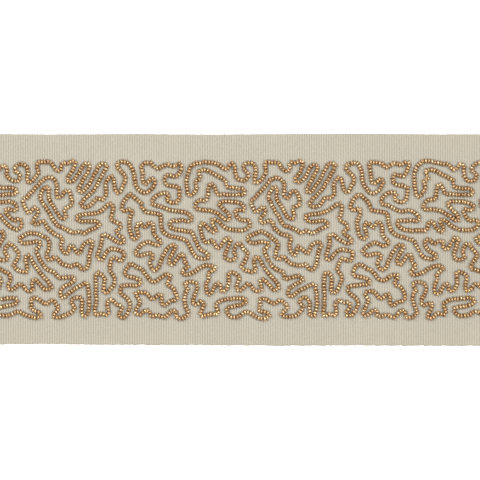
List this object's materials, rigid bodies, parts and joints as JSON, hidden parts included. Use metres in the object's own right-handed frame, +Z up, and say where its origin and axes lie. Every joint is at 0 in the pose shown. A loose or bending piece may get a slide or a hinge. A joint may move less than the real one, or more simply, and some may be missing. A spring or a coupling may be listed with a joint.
{
  "type": "beaded tape trim",
  "caption": "Flat length of ribbed grosgrain tape with strings of round bronze beads couched on it in a vermicelli meander, plain margins along both edges.",
  "frame": {"origin": "centre of the tape's flat back, on the surface it lies on", "axes": "+X along the tape, +Y across it, +Z up out of the beaded face"},
  "size_m": [0.254, 0.1006, 0.0037],
  "materials": {
    "tape": "matt ribbed grosgrain, ecru",
    "beads": "bronze gold lustre, polished"
  },
  "bodies": {
    "root": {"tape": "tape", "bead_string_1": "beads", "bead_string_2": "beads", "bead_string_3": "beads", "bead_string_4": "beads"}
  },
  "joints": []
}
